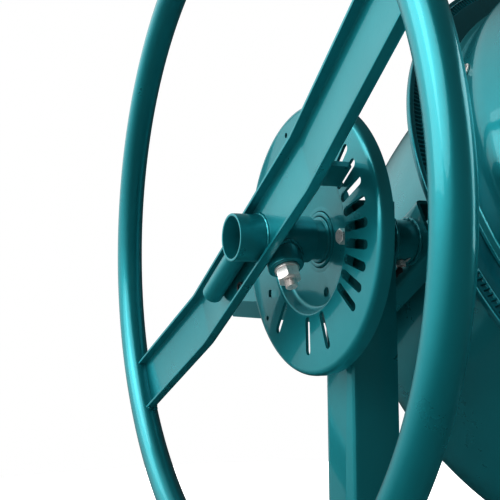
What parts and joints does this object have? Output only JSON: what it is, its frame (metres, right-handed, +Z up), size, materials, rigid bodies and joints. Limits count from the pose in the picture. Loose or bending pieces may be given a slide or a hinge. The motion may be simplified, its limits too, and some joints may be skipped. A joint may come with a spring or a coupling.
{
  "type": "portable concrete mixer",
  "caption": "Portable electric concrete mixer: tilting drum in a yoke, turned by a hand wheel with a slotted locking disc, on a wheeled steel stand.",
  "frame": {"origin": "middle of the outer box in X and Y, on the ground", "axes": "+Z up; +X from the hand wheel towards the motor, along the tilt axis; the mouth of the drum looks along -Y and up"},
  "size_m": [1.0582, 0.6896, 1.1673],
  "materials": {
    "teal_enamel": "high gloss enamel",
    "zinc": "zinc plated",
    "rubber": "matt",
    "black_plastic": "fine grain",
    "cast_iron": "painted teal",
    "bright_steel": "turned or rolled",
    "aluminium": "cast and turned",
    "green_plastic": "semi gloss",
    "red_plastic": "semi gloss"
  },
  "bodies": {
    "stand": {"left_post": "teal_enamel", "right_post": "teal_enamel", "left_foot_beam": "teal_enamel", "front_foot_pad": "rubber", "rear_foot_pad": "rubber", "base_crossbeam": "teal_enamel", "left_brace": "teal_enamel", "right_brace": "teal_enamel", "lift_handle": "teal_enamel", "axle_tube": "teal_enamel", "wheel_axle": "zinc", "locking_disc": "teal_enamel", "disc_bracket": "teal_enamel", "front_disc_bolt": "zinc", "rear_disc_bolt": "zinc", "left_bearing_sleeve": "teal_enamel", "right_bearing_sleeve": "teal_enamel", "motor_back_plate": "teal_enamel", "motor_cover": "teal_enamel", "electric_motor": "aluminium", "motor_shelf": "teal_enamel", "drive_belt": "rubber", "switch_box": "black_plastic", "power_inlet": "black_plastic"},
    "front_wheel": {"front_wheel_rim": "bright_steel", "front_wheel_tyre": "rubber"},
    "rear_wheel": {"rear_wheel_rim": "bright_steel", "rear_wheel_tyre": "rubber"},
    "yoke": {"left_yoke_arm": "teal_enamel", "right_yoke_arm": "teal_enamel", "yoke_crossbar": "teal_enamel", "bearing_housing": "teal_enamel", "drum_bearing": "bright_steel", "left_pivot_tube": "teal_enamel", "right_pivot_tube": "teal_enamel", "shaft_bush": "bright_steel"},
    "handwheel": {"handwheel_rim": "teal_enamel", "handwheel_spoke": "teal_enamel", "hub_pipe": "teal_enamel", "hub_saddle": "teal_enamel", "hub_bolt": "zinc", "hub_nut": "zinc", "spoke_stub": "teal_enamel", "lock_lug": "teal_enamel"},
    "drum": {"drum_bowl": "teal_enamel", "drum_cone": "teal_enamel", "ring_gear_1": "cast_iron", "ring_gear_2": "cast_iron", "mixing_blade_1": "teal_enamel", "mixing_blade_2": "teal_enamel", "blade_bolt_1": "zinc", "blade_bolt_2": "zinc", "drum_shaft": "bright_steel", "drum_nut": "zinc"},
    "drive": {"pinion": "cast_iron", "pinion_shaft": "bright_steel", "large_pulley": "aluminium"},
    "rotor": {"motor_pulley": "aluminium"},
    "start_button": {"start_button": "green_plastic"},
    "stop_button": {"stop_button": "red_plastic"}
  },
  "joints": [
    {"name": "drum_tilt", "type": "hinge", "parent": "stand", "child": "yoke", "pos_m": [-0.0359, 0.0468, 0.82], "axis": [1, 0, 0], "range_deg": [-10.3, 123.6]},
    {"name": "handwheel_lock", "type": "slide", "parent": "yoke", "child": "handwheel", "axis": [1, 0, 0], "range_m": [0, 0.009]},
    {"name": "drum_spin", "type": "hinge", "parent": "yoke", "child": "drum", "pos_m": [-0.0359, 0.0468, 0.82], "axis": [0, -0.8526, 0.5225], "continuous": true},
    {"name": "pinion_spin", "type": "hinge", "parent": "yoke", "child": "drive", "pos_m": [-0.0359, 0.0468, 0.82], "axis": [1, 0, 0], "continuous": true},
    {"name": "motor_spin", "type": "hinge", "parent": "stand", "child": "rotor", "pos_m": [-0.0359, 0.0718, 0.605], "axis": [1, 0, 0], "continuous": true},
    {"name": "front_wheel_spin", "type": "hinge", "parent": "stand", "child": "front_wheel", "pos_m": [0.3306, -0.2152, 0.115], "axis": [0, 1, 0], "continuous": true},
    {"name": "rear_wheel_spin", "type": "hinge", "parent": "stand", "child": "rear_wheel", "pos_m": [0.3306, 0.3088, 0.115], "axis": [0, 1, 0], "continuous": true},
    {"name": "start_press", "type": "slide", "parent": "stand", "child": "start_button", "axis": [0, 1, 0], "range_m": [0, 0.003], "stiffness_N_per_m": 400},
    {"name": "stop_press", "type": "slide", "parent": "stand", "child": "stop_button", "axis": [0, 1, 0], "range_m": [0, 0.003], "stiffness_N_per_m": 400}
  ],
  "couplings": [
    {"joint": "pinion_spin", "follows": "drum_spin", "ratio": -7.3333},
    {"joint": "motor_spin", "follows": "drum_spin", "ratio": -41.556}
  ]
}
